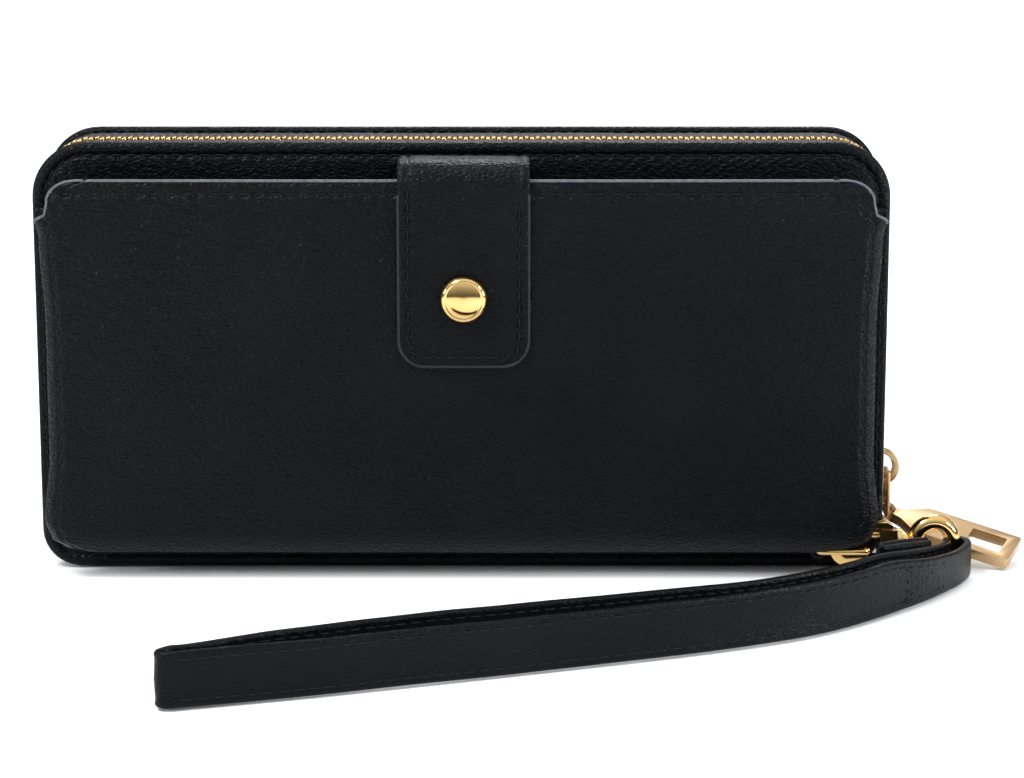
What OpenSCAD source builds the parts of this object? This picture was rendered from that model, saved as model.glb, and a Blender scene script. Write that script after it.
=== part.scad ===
// Zip-around wristlet wallet, standing on its spine.
// Frame: origin at the middle of the base, +X to the wallet's right, -Y to its front, +Z up.

/* [Wallet] */
// Width of the closed wallet
wallet_w = 200; // [196:1:204]
// Height of the closed wallet
wallet_h = 102; // [100:1:106]
// Thickness of the zipped wallet without its outside pocket
core_t = 28; // [27:0.5:30]
// Radius of the covers' top corners
top_r = 13; // [10:1:16]
// Radius of the covers' bottom corners
foot_r = 9; // [6:1:10]
// Thickness of the cover leather
leather_t = 1.1; // [0.9:0.1:1.2]

/* [Phone pocket] */
// Depth of the outside pocket, front to back
pocket_d = 13; // [12:0.5:15]
// Height of the pocket's mouth
pocket_top = 94.8; // [92:0.2:95.4]
// Height of the front panel's lower edge
pocket_foot = 6.4; // [5:0.2:7]
// Height of the pocket's base panel
pocket_base_z = 9; // [9:0.5:11]

/* [Snap tab] */
// Width of the snap tab
tab_w = 30; // [24:1:34]
// Middle of the snap tab, across the wallet
tab_x = 0.7; // [-4:0.1:4]
// Height of the tab's top fold
tab_top = 99.6; // [98.8:0.1:100.4]
// Height of the tab's lower end
tab_foot = 52; // [46:1:56]
// Height of the snap's middle
snap_z = 68; // [64:1:72]
// Diameter of the domed snap cap
cap_d = 11; // [9:0.5:13]

/* [Zip] */
// Spacing of the teeth on one side of the zip
pitch = 2.6; // [2.4:0.1:2.8]
// Height of the slider's middle when the zip is closed
slider_z = 21.2; // [19:0.2:24]
// Thickness of the zip tape
tape_t = 0.6; // [0.5:0.1:0.7]

/* [Pull] */
// Length of the pull plate from its eye
pull_l = 32.5; // [30:0.5:34]
// Width of the pull plate
pull_w = 12.6; // [11:0.2:13]
// Thickness of the pull plate
pull_t = 2.5; // [2:0.1:2.8]

/* [Wrist strap] */
// Width of the strap, which stands on its edge
strap_w = 12.6; // [11:0.2:13]
// Thickness of one layer of the strap
strap_t = 2.2; // [1.8:0.1:2.4]
// Outer diameter of the swivel ring
ring_d = 12.3; // [12:0.1:12.6]
// Diameter of the swivel ring's wire
ring_wire = 1.7; // [1.5:0.1:1.8]

/* [Hidden] */
$fn = 48;
half_w = wallet_w / 2;
front_y = -core_t / 2;
back_y = core_t / 2;
board_t = 0.95;
lining_t = 0.5;
gap = 0.05;
rim_depth = leather_t + board_t + lining_t + 2 * gap;
inner_y = back_y - rim_depth;
rim_w = 1.4;
spine_half = half_w - foot_r;

pocket_y = front_y - pocket_d;
panel_t = 1.2;
panel_w = 96;

snap_r = 1.7;
tab_t = 1.1;
flap_y = pocket_y - 0.4;

chain_x = half_w - 1.7;
chain_top = wallet_h - 1.7;
chain_r = top_r - 1.7;
tape_foot = 9;
tooth_w = 1.0;
tooth_t = 2.0;

page_half = 92;
slot_t = 0.6;
slot_gap = 0.02;
coin_y = 4.1;
coin_t = 0.8;
coin_top = 86;

link_x = half_w + 2.4;
crown_z = slider_z - 1.2;
link_z = 9.6;
link_wire = 1.2;
pull_yaw = -22;
pull_slope = 12.5;
pull_roll = 12;

hook_y = -19.5;
hook_z = 8.1;
hook_t = 3.2;
block_x = half_w - 1.4;
block_l = 4.2;
jaw_x = half_w - 8.8;
ring_r = (ring_d - ring_wire) / 2;
ring_x = block_x + 13;
d_ring_x = 84;
d_ring_z = 6.4;
d_ring_wire = 1.5;

black = [0.09, 0.09, 0.1];
black_lining = [0.13, 0.13, 0.14];
board_grey = [0.45, 0.44, 0.42];
gold = [0.83, 0.66, 0.36];
satin_gold = [0.78, 0.64, 0.42];
steel = [0.7, 0.7, 0.72];

// ---------- helpers ----------

// A flat outline in X and Z, given depth from y0 to y1
module in_xz(y0, y1) {
    translate([0, y1, 0]) rotate([90, 0, 0]) linear_extrude(y1 - y0) children();
}

// A block given by its lowest and highest corners
module block(low, high) {
    translate(low) cube(high - low);
}

// A rounded cover outline, drawn inset from the wallet's own edge
module cover_outline(inset, foot_inset) {
    w = half_w - inset;
    top = wallet_h - inset;
    rt = max(top_r - inset, 1);
    rf = max(foot_r - inset, 1);
    translate([-w, foot_inset + rf]) square([2 * w, top - rt - foot_inset - rf]);
    translate([-w + rt, top - rt - 1]) square([2 * (w - rt), rt + 1]);
    translate([-w + rf, foot_inset]) square([2 * (w - rf), rf + 1]);
    for (side = [-1, 1]) {
        translate([side * (w - rt), top - rt]) circle(rt);
        translate([side * (w - rf), foot_inset + rf]) circle(rf);
    }
}

// The line of the zip chain: right side, top and left side, t mm inside or outside of it
module chain_band(half_t) {
    difference() {
        band_outline(half_t);
        band_outline(-half_t);
        translate([-half_w, -1]) square([wallet_w, tape_foot + 1]);
    }
}

module band_outline(grow) {
    w = chain_x + grow;
    top = chain_top + grow;
    r = chain_r + grow;
    translate([-w, 0]) square([2 * w, top - r]);
    translate([-w + r, 0]) square([2 * (w - r), top]);
    for (side = [-1, 1]) {
        translate([side * (w - r), top - r]) circle(r);
    }
}

// ---------- covers, spine and linings ----------

// A cover: its face, and a turned edge that holds the board and the lining; side is -1 in front, 1 behind
module cover(side) {
    outer = side * back_y;
    inner = side * (back_y - leather_t);
    depth = side * inner_y;
    color(black) {
        in_xz(min(outer, inner), max(outer, inner)) cover_outline(0, 0);
        in_xz(min(inner, depth), max(inner, depth)) difference() {
            cover_outline(0, 0);
            cover_outline(rim_w, 2.2);
        }
    }
}

module stiffener(side) {
    near = side * (back_y - leather_t - gap);
    far = side * (back_y - leather_t - gap - board_t);
    color(board_grey) in_xz(min(near, far), max(near, far)) cover_outline(rim_w + 0.2, 2.4);
}

module lining(side) {
    near = side * (inner_y + lining_t);
    far = side * inner_y;
    color(black_lining) in_xz(min(near, far), max(near, far)) cover_outline(rim_w + 0.2, 2.4);
}

module front_cover() { cover(-1); }
module back_cover() { cover(1); }
module front_stiffener() { stiffener(-1); }
module back_stiffener() { stiffener(1); }
module front_lining() { lining(-1); }
module back_lining() { lining(1); }

module spine_panel() {
    color(black) block([-spine_half, -inner_y, 0], [spine_half, inner_y - 0.1, leather_t]);
}

module spine_lining() {
    color(black_lining)
        block([-spine_half, -inner_y, leather_t + gap], [spine_half, inner_y - 0.3, leather_t + gap + lining_t]);
}

// ---------- phone pocket ----------

// Half of the front panel's outline, from the middle of its mouth to the middle of its foot
function panel_side() = concat(
    [[panel_w - 8, pocket_top]],
    [for (a = [75:-15:0]) [panel_w - 8 + 6.6 * cos(a), pocket_top - 4.6 + 4.6 * sin(a)]],
    [[panel_w - 1, pocket_top - 7.6], [panel_w + 1.6, pocket_top - 9.4], [panel_w + 1, pocket_top - 14]],
    [[panel_w, wallet_h * 0.6], [panel_w, wallet_h * 0.3], [panel_w + 1.8, pocket_foot + 8.6]],
    [for (a = [0:-18:-90]) [panel_w - 6.6 + 7.8 * cos(a), pocket_foot + 7.8 + 7.8 * sin(a)]]
);

function mirrored(points) = [for (i = [len(points) - 1:-1:0]) [-points[i].x, points[i].y]];

module panel_outline(inset) {
    points = [for (p = panel_side()) [p.x - inset, p.y]];
    polygon(concat(points, mirrored(points)));
}

module pocket_front() {
    color(black) difference() {
        in_xz(pocket_y, pocket_y + panel_t) panel_outline(0);
        translate([tab_x, pocket_y + 1, snap_z]) rotate([90, 0, 0]) cylinder(r = snap_r * 0.55, h = 6, center = true);
    }
}

module pocket_lining() {
    color(black_lining) difference() {
        in_xz(pocket_y + panel_t + gap, pocket_y + panel_t + gap + lining_t) intersection() {
            panel_outline(4);
            translate([-half_w, pocket_base_z + 1]) square([wallet_w, pocket_top - pocket_base_z - 2]);
        }
        translate([tab_x, pocket_y + 1, snap_z]) rotate([90, 0, 0]) cylinder(r = snap_r * 0.55, h = 6, center = true);
    }
}

// The base is cut back to the right, over the hook
module pocket_base() {
    color(black) block(
        [-(panel_w - 12), pocket_y + panel_t + gap, pocket_base_z],
        [panel_w - 14, front_y, pocket_base_z + 1]
    );
}

// A gusset: a side wall and the flange that is sewn to the cover's edge
module pocket_gusset() {
    color(black) intersection() {
        union() {
            block([panel_w - 2, pocket_y + panel_t + gap, 12], [panel_w - 1, front_y - 1.1, pocket_top - 8]);
            block([panel_w - 2, front_y - 1.1, 12], [half_w - 0.5, front_y, pocket_top - 8]);
        }
        in_xz(pocket_y, front_y) polygon([
            [0, 12], [panel_w - 2, 18], [half_w, 21], [half_w, pocket_top - 10], [panel_w - 2, pocket_top - 8], [0, pocket_top]
        ]);
    }
}

module pocket_gusset_left() { mirror([1, 0, 0]) pocket_gusset(); }
module pocket_gusset_right() { pocket_gusset(); }

// ---------- snap tab ----------

module tab_outline(w, foot, top, r) {
    translate([-w / 2, foot + r]) square([w, top - foot - r]);
    translate([-w / 2 + r, foot]) square([w - 2 * r, r + 1]);
    for (side = [-1, 1]) {
        translate([side * (w / 2 - r), foot + r]) circle(r);
    }
}

// The fixed part: sewn flat to the cover, then forward over the pocket's mouth
module tab_root() {
    color(black) translate([tab_x, 0, 0]) {
        block([-tab_w / 2, front_y - tab_t, 72], [tab_w / 2, front_y, tab_top]);
        block([-tab_w / 2, pocket_y + 1.6, tab_top - tab_t], [tab_w / 2, front_y - tab_t, tab_top]);
    }
}

// The moving part: bends down over the pocket's edge and ends in the snap
module tab_flap() {
    color(black) translate([tab_x, 0, 0]) {
        difference() {
            in_xz(flap_y - 1.9, flap_y - 1.0) tab_outline(tab_w, tab_foot, tab_top - 1.2, 5);
            translate([0, flap_y, snap_z]) rotate([90, 0, 0]) cylinder(r = 1, h = 8, center = true);
        }
        block([-tab_w / 2, flap_y - 1.9, tab_top - 1.2], [tab_w / 2, pocket_y + 1.2, tab_top]);
    }
}

module tab_lining() {
    color(black_lining) translate([tab_x, 0, 0]) difference() {
        in_xz(flap_y - 0.95, flap_y - 0.45) tab_outline(tab_w - 1, tab_foot + 0.5, tab_top - 1.4, 4.5);
        translate([0, flap_y, snap_z]) rotate([90, 0, 0]) cylinder(r = 3.9, h = 8, center = true);
    }
}

// A turned piece on the snap's axis, its profile given as radius and distance in front of the pocket
module turned_at_snap(points) {
    translate([tab_x, pocket_y, snap_z]) rotate([90, 0, 0]) rotate_extrude() polygon(points);
}

module snap_stud() {
    color(steel) turned_at_snap([[0.75, 0.02], [3, 0.02], [3, 0.25], [snap_r, 0.3], [snap_r, 0.9], [0.75, 0.9]]);
}

module snap_post() {
    depth = -panel_t - lining_t - 2 * gap;
    color(steel) turned_at_snap([[0, depth - 0.6], [3, depth - 0.6], [3, depth], [0.7, depth], [0.7, 0.85], [0, 0.85]]);
}

module snap_socket() {
    color(steel) turned_at_snap([[snap_r + 0.4, 0.55], [3.7, 0.55], [3.7, 1.38], [1.2, 1.38], [1.2, 1.12], [snap_r + 0.4, 1.12]]);
}

module snap_cap() {
    face = 2.32;
    bulge = 2.4;
    dome = [for (a = [90:-15:0]) [cap_d / 2 * sin(a), face + 0.7 + bulge * (1 - pow(sin(a), 2))]];
    color(gold) turned_at_snap(concat([[0, 1.45], [0.95, 1.45], [0.95, face], [cap_d / 2, face]], dome));
}

// ---------- zip ----------

arc_l = chain_r * PI / 2;
side_l = chain_top - chain_r - tape_foot - 1;
top_l = 2 * (chain_x - chain_r);
chain_l = 2 * side_l + 2 * arc_l + top_l;

// Place and turn of the chain at a distance along it, from the right foot over the top to the left foot
function chain_at(s) =
    s < side_l ? [chain_x, tape_foot + 1 + s, 0] :
    s < side_l + arc_l ? corner_at((s - side_l) / chain_r * 180 / PI) :
    s < side_l + arc_l + top_l ? [chain_x - chain_r - (s - side_l - arc_l), chain_top, 90] :
    s < chain_l - side_l ? far_corner_at((s - side_l - arc_l - top_l) / chain_r * 180 / PI) :
    [-chain_x, tape_foot + 1 + (chain_l - s), 180];

function corner_at(a) = [chain_x - chain_r + chain_r * cos(a), chain_top - chain_r + chain_r * sin(a), a];

function far_corner_at(a) = [-chain_x + chain_r - chain_r * sin(a), chain_top - chain_r + chain_r * cos(a), 90 + a];

// One side's teeth; those below the slider are parted
module zip_teeth(side) {
    parted_l = slider_z - tape_foot - 1;
    first = side < 0 ? 0.8 : 0.8 + pitch / 2;
    color(gold) for (s = [first:pitch:chain_l - 1]) {
        place = chain_at(s);
        aside = s < parted_l ? 1.5 : 0;
        low = side < 0 ? -2.0 - aside : -0.75 + aside;
        translate([place.x, 0, place.y]) rotate([0, -place.z, 0])
            translate([-tooth_t / 2, low, -tooth_w / 2]) cube([tooth_t, 2.75, tooth_w]);
    }
}

module zip_teeth_front() { zip_teeth(-1); }
module zip_teeth_back() { zip_teeth(1); }

module zip_tape_front() {
    color(black) in_xz(-inner_y, -3.6) chain_band(tape_t / 2);
    color(black) in_xz(-3.6, -2.02) difference() {
        chain_band(tape_t / 2);
        translate([half_w - 4, 0]) square([8, slider_z]);
    }
}

module zip_tape_back() {
    color(black) in_xz(3.6, inner_y - 0.1) chain_band(tape_t / 2);
    color(black) in_xz(2.02, 3.6) difference() {
        chain_band(tape_t / 2);
        translate([half_w - 4, 0]) square([8, slider_z]);
    }
}

// The stops clamp the front tape's ends, below the first and the last tooth
module zip_end_stops() {
    color(gold) for (side = [-1, 1]) {
        block([side * chain_x - 1.1, -5.4, tape_foot - 2.2], [side * chain_x + 1.1, -3.4, tape_foot - 0.1]);
    }
}

// Two plates with lips, joined by a post between the parted teeth, and a crown that holds the link
module zip_slider() {
    low = slider_z - 5.6;
    high = slider_z + 5.4;
    color(gold) {
        for (side = [-1, 1]) {
            near = side * 1.5;
            far = side * 2.75;
            block([chain_x + min(near, far), -4.8, low], [chain_x + max(near, far), 4.8, high]);
            lip = side * 0.75;
            for (edge = [-1, 1]) {
                block(
                    [chain_x + min(lip, near), min(edge * 3.9, edge * 4.8), low],
                    [chain_x + max(lip, near), max(edge * 3.9, edge * 4.8), high]
                );
            }
        }
        block([chain_x - 1.6, -0.7, low], [chain_x + 1.6, 0.7, low + 3]);
        in_xz(-1.3, 1.3) translate([chain_x + 2.7, slider_z]) difference() {
            scale([0.95, 1]) crown_outline(4.4);
            scale([0.78, 1]) crown_outline(3.3);
        }
    }
}

module crown_outline(r) {
    intersection() {
        circle(r);
        translate([0, -r]) square([r, 2 * r]);
    }
}

// A wire ring that hangs in the crown
module pull_link() {
    half = 2.7;
    r = link_wire / 2;
    color(gold) translate([link_x, 0, 0]) {
        for (z = [link_z, crown_z]) {
            translate([0, 0, z]) rotate([90, 0, 0]) cylinder(r = r, h = 2 * half, center = true);
        }
        for (y = [-half, half]) {
            translate([0, y, link_z]) cylinder(r = r, h = crown_z - link_z);
            for (z = [link_z, crown_z]) {
                translate([0, y, z]) sphere(r);
            }
        }
    }
}

// Half of the pull's outline from its eye to its far end
function pull_side() = [
    [1.6, 1.2], [4.5, 2.4], [8.5, pull_w / 2 - 0.4], [10.5, pull_w / 2], [pull_l - 0.6, pull_w / 2], [pull_l, pull_w / 2 - 0.6]
];

module zip_pull() {
    half = pull_side();
    color(satin_gold) translate([link_x, 0, link_z]) rotate([0, 0, pull_yaw]) rotate([0, pull_slope, 0]) {
        difference() {
            rotate([90, 0, 0]) cylinder(r = 2.5, h = 1.8, center = true);
            rotate([90, 0, 0]) cylinder(r = 1.25, h = 4, center = true);
        }
        difference() {
            rotate([pull_roll, 0, 0]) translate([0, 0, -pull_t / 2]) linear_extrude(pull_t) difference() {
                polygon(concat(half, [for (i = [len(half) - 1:-1:0]) [half[i].x, -half[i].y]]));
                translate([pull_l - 11.5, -pull_w / 2 + 2.6]) square([8.6, pull_w - 5.2]);
            }
            rotate([90, 0, 0]) cylinder(r = 1.9, h = 6, center = true);
        }
    }
}

// ---------- inside: card slots and coin pocket ----------

// A row of card slots; row 1 lies against the lining and stands highest
module card_slot(side, row) {
    near = inner_y - slot_gap - (row - 1) * (slot_t + slot_gap);
    y0 = side < 0 ? -near : near - slot_t;
    color(black) block([-page_half, y0, 2.6], [page_half, y0 + slot_t, 92 - 12 * row]);
}

module card_slot_front_1() { card_slot(-1, 1); }
module card_slot_front_2() { card_slot(-1, 2); }
module card_slot_front_3() { card_slot(-1, 3); }
module card_slot_front_4() { card_slot(-1, 4); }
module card_slot_back_1() { card_slot(1, 1); }
module card_slot_back_2() { card_slot(1, 2); }
module card_slot_back_3() { card_slot(1, 3); }
module card_slot_back_4() { card_slot(1, 4); }

module coin_panel_front() {
    color(black) block([-page_half, -coin_y, 1.8], [page_half, -coin_y + coin_t, coin_top]);
}

module coin_panel_back() {
    color(black) block([-page_half, coin_y - coin_t, 1.8], [page_half, coin_y, coin_top]);
}

// Closes the coin pocket's two sides and its foot
module coin_gusset() {
    depth = coin_y - coin_t;
    color(black_lining) in_xz(-depth, depth) difference() {
        translate([-page_half, 1.8]) square([2 * page_half, coin_top - 1.8]);
        translate([-page_half + 0.8, 2.6]) square([2 * page_half - 1.6, coin_top]);
    }
}

module coin_zip_tape() {
    color(black) for (side = [-1, 1]) {
        block(
            [-page_half + 0.8, min(side * 0.95, side * (coin_y - coin_t)), coin_top - 1.9],
            [page_half - 0.8, max(side * 0.95, side * (coin_y - coin_t)), coin_top - 1.3]
        );
    }
}

module coin_zip_teeth() {
    color(gold) for (x = [-page_half + 6:2.2:page_half - 12]) {
        block([x, -0.95, coin_top - 2.4], [x + 1.4, 0.95, coin_top - 0.8]);
    }
}

coin_slider_x = page_half - 9;
coin_pivot_z = coin_top + 1.7;

module coin_slider() {
    low = coin_slider_x - 4;
    high = coin_slider_x + 4;
    color(gold) {
        block([low, -2.6, coin_top - 0.4], [high, 2.6, coin_top + 0.5]);
        block([low, -2.6, coin_top - 3.6], [high, 2.6, coin_top - 2.8]);
        block([high - 1.2, -0.5, coin_top - 3.6], [high, 0.5, coin_top]);
        for (side = [-1, 1]) {
            translate([coin_slider_x, side * 1.9, coin_pivot_z]) rotate([90, 0, 0]) difference() {
                union() {
                    cylinder(r = 1.2, h = 0.9, center = true);
                    translate([-1.2, -1.4, -0.45]) cube([2.4, 1.4, 0.9]);
                }
                cylinder(r = 0.6, h = 3, center = true);
            }
        }
    }
}

module coin_pull() {
    color(gold) translate([coin_slider_x, 0, coin_pivot_z]) {
        rotate([90, 0, 0]) cylinder(r = 0.55, h = 4.4, center = true);
        rotate([90, 0, 0]) cylinder(r = 1, h = 2.4, center = true);
        translate([-9.5, -1.2, -0.5]) cube([9.5, 2.4, 1]);
    }
}

// ---------- D-ring and snap hook ----------

module d_ring_tab() {
    color(black) difference() {
        union() {
            block([d_ring_x - 13, hook_y - 3.5, d_ring_z + 0.8], [d_ring_x, hook_y + 3.5, d_ring_z + 2.1]);
            block([d_ring_x - 13, hook_y - 3.5, d_ring_z + 2], [d_ring_x - 5, hook_y + 3.5, pocket_base_z]);
            translate([d_ring_x, hook_y, d_ring_z]) rotate([90, 0, 0]) cylinder(r = 2.1, h = 7, center = true);
        }
        translate([d_ring_x, hook_y, d_ring_z]) rotate([90, 0, 0]) cylinder(r = d_ring_wire / 2 + 0.05, h = 9, center = true);
    }
}

// A rounded wire loop in the plane of X and Y: a bar in the tab, two sides and a bow
module d_ring() {
    half = 4.5;
    reach = 11.5;
    r = d_ring_wire / 2;
    color(gold) translate([d_ring_x, hook_y, d_ring_z]) rotate([0, 90, 0]) {
        for (z = [0, reach]) {
            translate([0, 0, z]) rotate([90, 0, 0]) cylinder(r = r, h = 2 * half, center = true);
        }
        for (y = [-half, half]) {
            translate([0, y, 0]) cylinder(r = r, h = reach);
            for (z = [0, reach]) {
                translate([0, y, z]) sphere(r);
            }
        }
    }
}

// The jaw, the block that holds the gate and the collar of the swivel, in one casting
module hook_body() {
    jaw_r = 4.3;
    jaw_z = hook_z - 1.7;
    block_low = hook_z - 2.7;
    gate_z = hook_z + 1.4;
    color(gold) difference() {
        union() {
            in_xz(hook_y - hook_t / 2, hook_y + hook_t / 2) {
                difference() {
                    translate([jaw_x, jaw_z]) circle(jaw_r);
                    translate([jaw_x, jaw_z]) circle(jaw_r - 2.4);
                    translate([jaw_x, jaw_z - 6]) square([8, 12]);
                }
                translate([jaw_x - 0.1, jaw_z + 1.9]) square([1.5, 2.4]);
                translate([jaw_x - 0.1, jaw_z - jaw_r]) square([block_x - jaw_x + block_l, 2.4]);
                translate([block_x, jaw_z - 2]) square([block_l, block_low - jaw_z + 3]);
            }
            block([block_x, hook_y - 1.8, block_low], [block_x + block_l, hook_y + 1.8, block_low + 5.4]);
            translate([block_x + block_l, hook_y, hook_z]) rotate([0, 90, 0]) cylinder(r = 2.7, h = 1.2);
        }
        translate([block_x - 1, hook_y, gate_z]) rotate([0, 90, 0]) cylinder(r = 0.95, h = 4.9);
    }
}

module hook_post() {
    neck_x = block_x + block_l + 1.2;
    color(gold) translate([neck_x, hook_y, hook_z]) rotate([0, 90, 0]) {
        cylinder(r = 1.7, h = 1.2);
        cylinder(r = 0.9, h = 3.5);
        translate([0, 0, 3.4]) cylinder(r = 1.6, h = 1.1);
    }
}

module gate_spring() {
    color(steel) translate([block_x + 0.65, hook_y, hook_z + 1.4]) rotate([0, 90, 0]) difference() {
        cylinder(r = 0.85, h = 3.2);
        translate([0, 0, -1]) cylinder(r = 0.5, h = 6);
    }
}

module hook_gate() {
    gate_z = hook_z + 1.4;
    tip_x = jaw_x + 1.5;
    color(gold) {
        translate([tip_x, hook_y, gate_z]) rotate([0, 90, 0]) cylinder(r = 0.9, h = block_x + 0.6 - tip_x);
        block([block_x - 3.5, hook_y - 0.8, gate_z], [block_x - 2.5, hook_y + 0.8, hook_z + 3.6]);
        in_xz(hook_y - 1.4, hook_y + 1.4) polygon([
            [block_x - 3.5, hook_z + 3.0], [block_x + 3.2, hook_z + 3.0], [block_x + 3.2, hook_z + 3.7],
            [block_x + 1.2, hook_z + 5.2], [block_x + 0.2, hook_z + 5.2], [block_x - 3.5, hook_z + 3.9]
        ]);
    }
}

module ring_torus(r) {
    translate([ring_x, hook_y, hook_z]) rotate([90, 0, 0]) rotate_extrude() translate([ring_r, 0]) circle(r);
}

module swivel_ring() {
    color(gold) difference() {
        union() {
            ring_torus(ring_wire / 2);
            translate([block_x + 6.7, hook_y, hook_z]) rotate([0, 90, 0]) cylinder(r = 1.9, h = 2);
        }
        translate([block_x, hook_y, hook_z]) rotate([0, 90, 0]) cylinder(r = 0.95, h = 9.6);
    }
}

// ---------- wrist strap ----------

// Places that the strap's middle line passes, seen from above: front layer, round the ring, back layer, end fold
strap_route = [
    [-59.4, -122.6], [-54, -121], [-30, -113.5], [10, -99.5], [54, -83], [80, -69.5], [101, -50], [113.5, -34],
    [118.4, -24.5], [119.2, -19.5], [116.9, -17.2], [114.6, -19.5], [112.8, -26], [99, -44.5], [77, -63], [54, -74],
    [10, -88.5], [-30, -104], [-54, -116.6], [-58.6, -118.2], [-61, -120.9]
];

function curve_at(a, b, c, d, t) =
    0.5 * (2 * b + (c - a) * t + (2 * a - 5 * b + 4 * c - d) * t * t + (3 * b - a - 3 * c + d) * t * t * t);

function closed_curve(p, steps) = [
    for (i = [0:len(p) - 1])
        for (k = [0:steps - 1])
            curve_at(p[(i + len(p) - 1) % len(p)], p[i], p[(i + 1) % len(p)], p[(i + 2) % len(p)], k / steps)
];

// A closed curve moved sideways, outwards where by is positive
function moved_out(p, by) = [
    for (i = [0:len(p) - 1])
        let (along = p[(i + 1) % len(p)] - p[(i + len(p) - 1) % len(p)], n = norm(along))
            p[i] + by * [along.y, -along.x] / n
];

// Keeps what lies under the strap's upper edge, which dips towards the ring
module under_dip() {
    intersection() {
        children();
        in_xz(-130, -10) polygon([[-70, -1], [130, -1], [130, 7.6], [119, 8.4], [96, strap_w], [-70, strap_w]]);
    }
}

module wrist_strap() {
    line = closed_curve(strap_route, 5);
    color(black) difference() {
        under_dip() linear_extrude(strap_w) difference() {
            polygon(moved_out(line, strap_t / 2));
            polygon(moved_out(line, -strap_t / 2));
        }
        ring_torus(ring_wire / 2 + 0.35);
    }
}

// The strap's sewn ends, folded behind the back layer
module strap_end() {
    color(black) under_dip() linear_extrude(strap_w) polygon([
        [110.9, -26.5], [109.8, -28.3], [106.3, -32.8], [102.3, -37.6], [97.6, -42.9],
        [95.2, -40.9], [96, -39.2], [102.6, -31.6], [107.8, -25.6], [109.6, -24.9]
    ]);
}

// ---------- the model ----------

front_cover();
front_stiffener();
front_lining();
spine_panel();
spine_lining();
pocket_front();
pocket_lining();
pocket_base();
pocket_gusset_left();
pocket_gusset_right();
snap_stud();
snap_post();
tab_root();
zip_tape_front();
zip_teeth_front();
zip_end_stops();
card_slot_front_1();
card_slot_front_2();
card_slot_front_3();
card_slot_front_4();
coin_panel_front();
coin_panel_back();
coin_gusset();
coin_zip_tape();
coin_zip_teeth();
d_ring_tab();
back_cover();
back_stiffener();
back_lining();
zip_tape_back();
zip_teeth_back();
card_slot_back_1();
card_slot_back_2();
card_slot_back_3();
card_slot_back_4();
tab_flap();
tab_lining();
snap_cap();
snap_socket();
zip_slider();
pull_link();
zip_pull();
coin_slider();
coin_pull();
d_ring();
hook_body();
hook_post();
gate_spring();
hook_gate();
swivel_ring();
wrist_strap();
strap_end();
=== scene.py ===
"""Zip-around wristlet wallet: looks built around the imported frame, in metres."""

import math

import bmesh
import bpy
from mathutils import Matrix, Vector, noise


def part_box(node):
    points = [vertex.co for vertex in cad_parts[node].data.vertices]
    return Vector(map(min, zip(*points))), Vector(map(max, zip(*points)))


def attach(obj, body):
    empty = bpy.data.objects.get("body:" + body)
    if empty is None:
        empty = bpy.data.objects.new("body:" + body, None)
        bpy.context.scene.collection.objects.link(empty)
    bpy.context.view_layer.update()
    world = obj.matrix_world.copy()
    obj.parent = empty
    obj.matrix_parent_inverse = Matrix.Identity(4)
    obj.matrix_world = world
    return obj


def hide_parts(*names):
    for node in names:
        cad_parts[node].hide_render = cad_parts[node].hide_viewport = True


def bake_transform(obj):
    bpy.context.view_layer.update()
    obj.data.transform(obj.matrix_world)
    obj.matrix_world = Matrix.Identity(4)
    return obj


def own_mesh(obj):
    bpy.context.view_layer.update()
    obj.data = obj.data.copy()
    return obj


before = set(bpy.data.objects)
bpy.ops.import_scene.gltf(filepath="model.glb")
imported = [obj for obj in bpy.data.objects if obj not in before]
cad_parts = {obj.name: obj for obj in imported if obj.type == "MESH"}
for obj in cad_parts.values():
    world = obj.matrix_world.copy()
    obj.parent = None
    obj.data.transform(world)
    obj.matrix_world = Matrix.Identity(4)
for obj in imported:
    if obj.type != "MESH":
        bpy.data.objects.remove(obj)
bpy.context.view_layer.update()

MM = 0.001
TAU = 2 * math.pi
STITCH_STEP = 3.4            # pitch of the visible sewing, in millimetres


def millimetres(node):
    """A node's lowest and highest corners, in millimetres."""
    low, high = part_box(node)
    return [v / MM for v in low], [v / MM for v in high]


COVER_LOW, COVER_HIGH = millimetres("front_cover")
BACK_HIGH = millimetres("back_cover")[1]
PANEL_LOW, PANEL_HIGH = millimetres("pocket_front")
FLAP_LOW, FLAP_HIGH = millimetres("tab_flap")
STRAP_HIGH = millimetres("wrist_strap")[1]
TAPE_LOW, TAPE_HIGH = millimetres("zip_tape_front")
HALF_W = COVER_HIGH[0]
HEIGHT = COVER_HIGH[2]
FRONT_Y = COVER_LOW[1]
BACK_Y = BACK_HIGH[1]
POCKET_Y = PANEL_LOW[1]
POCKET_TOP = PANEL_HIGH[2]
POCKET_FOOT = PANEL_LOW[2]
TOP_R = 13.0                 # the covers' top corners, as in the CAD
FOOT_R = 9.0                 # their bottom corners
SHOULDER_Z = POCKET_TOP - 4.6   # where the pocket panel's rounded shoulders start
SHOULDER_IN = 9.8            # how far its straight top stops short of its widest point
SNAP_Z = 68.0                # height of the snap's middle
PANEL_T = 1.15               # leather of the pocket panel
COVER_T = 1.0                # leather of the covers
THIN_T = 0.85                # leather of the spine and the tab
SEAM_INSET = 1.75            # the strap's sewing, in from its edges
STRAP_HALF_T = 1.02          # half the strap's thickness
STRAP_END_HALF_T = 0.82      # and half its folded end's
TAB_X = (FLAP_LOW[0] + FLAP_HIGH[0]) / 2


# ---------- materials ----------

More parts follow.
